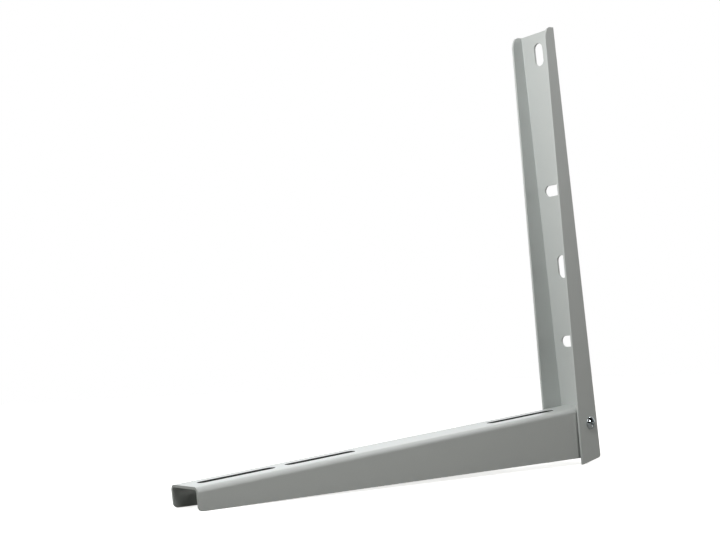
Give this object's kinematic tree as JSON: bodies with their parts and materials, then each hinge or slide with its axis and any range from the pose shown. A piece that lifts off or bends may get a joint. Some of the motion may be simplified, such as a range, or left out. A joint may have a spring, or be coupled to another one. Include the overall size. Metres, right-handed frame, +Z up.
{
  "type": "air conditioner outdoor unit bracket",
  "caption": "L-shaped wall bracket for an outdoor unit: a slotted upright channel and a slotted, tapered arm of folded steel, held together by screws.",
  "frame": {"origin": "on the wall plane, in the middle of the upright's back, level with the arm's top face", "axes": "+Y into the wall, +Z up along the upright, -Y along the arm to its tip, X across the bracket"},
  "size_m": [0.0524, 0.45, 0.43],
  "materials": {
    "powder_coat": "light grey powder coat, satin",
    "zinc_plate": "bright zinc plate"
  },
  "bodies": {
    "root": {"upright": "powder_coat", "arm": "powder_coat", "screw_right": "zinc_plate", "spring_washer_right": "zinc_plate", "nut_right": "zinc_plate", "screw_left": "zinc_plate", "spring_washer_left": "zinc_plate", "nut_left": "zinc_plate"}
  },
  "joints": []
}
